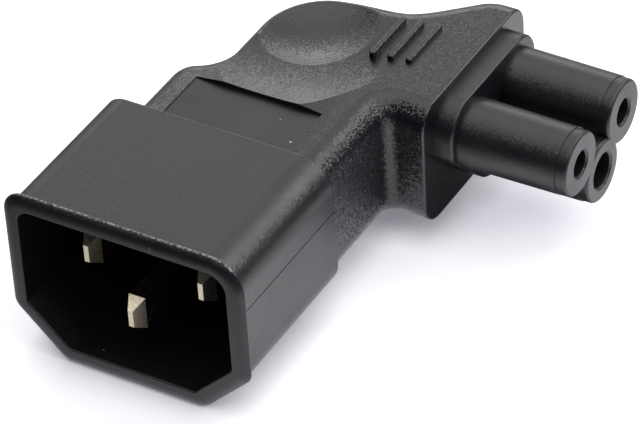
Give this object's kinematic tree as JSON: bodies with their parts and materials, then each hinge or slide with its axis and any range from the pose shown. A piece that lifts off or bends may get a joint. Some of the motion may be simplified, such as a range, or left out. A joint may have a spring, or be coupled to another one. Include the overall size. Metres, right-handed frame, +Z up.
{
  "type": "right-angle power adapter",
  "caption": "Right-angle mains adapter: a keyed inlet with recessed blades, turned by a moulded elbow with thumb dishes and grip ribs into a cloverleaf outlet of socket barrels.",
  "frame": {"origin": "middle of the underside of the adapter's bounding box, level with the lowest face of the bead round the inlet's mouth", "axes": "+Y from the inlet's mouth to the back, +X the way the outlet's barrels point, +Z up"},
  "size_m": [0.0471, 0.057, 0.021],
  "materials": {
    "shroud_plastic": "smooth satin black",
    "overmould_plastic": "fine grained matte black, smooth in the bare panel and on the flange face",
    "nose_plastic": "smooth satin black",
    "plated_brass": "bright nickel plate",
    "copper": "drawn bare copper",
    "power_insulation": "smooth extruded sleeve",
    "earth_insulation": "smooth extruded sleeve"
  },
  "bodies": {
    "root": {"inlet_shroud": "shroud_plastic", "left_power_blade": "plated_brass", "right_power_blade": "plated_brass", "earth_blade": "plated_brass", "overmould_body": "overmould_plastic", "outlet_nose": "nose_plastic", "left_power_contact": "plated_brass", "right_power_contact": "plated_brass", "earth_contact": "plated_brass", "left_power_wire": "copper", "right_power_wire": "copper", "earth_wire": "copper", "left_power_insulation": "power_insulation", "right_power_insulation": "power_insulation", "earth_insulation": "earth_insulation"}
  },
  "joints": []
}
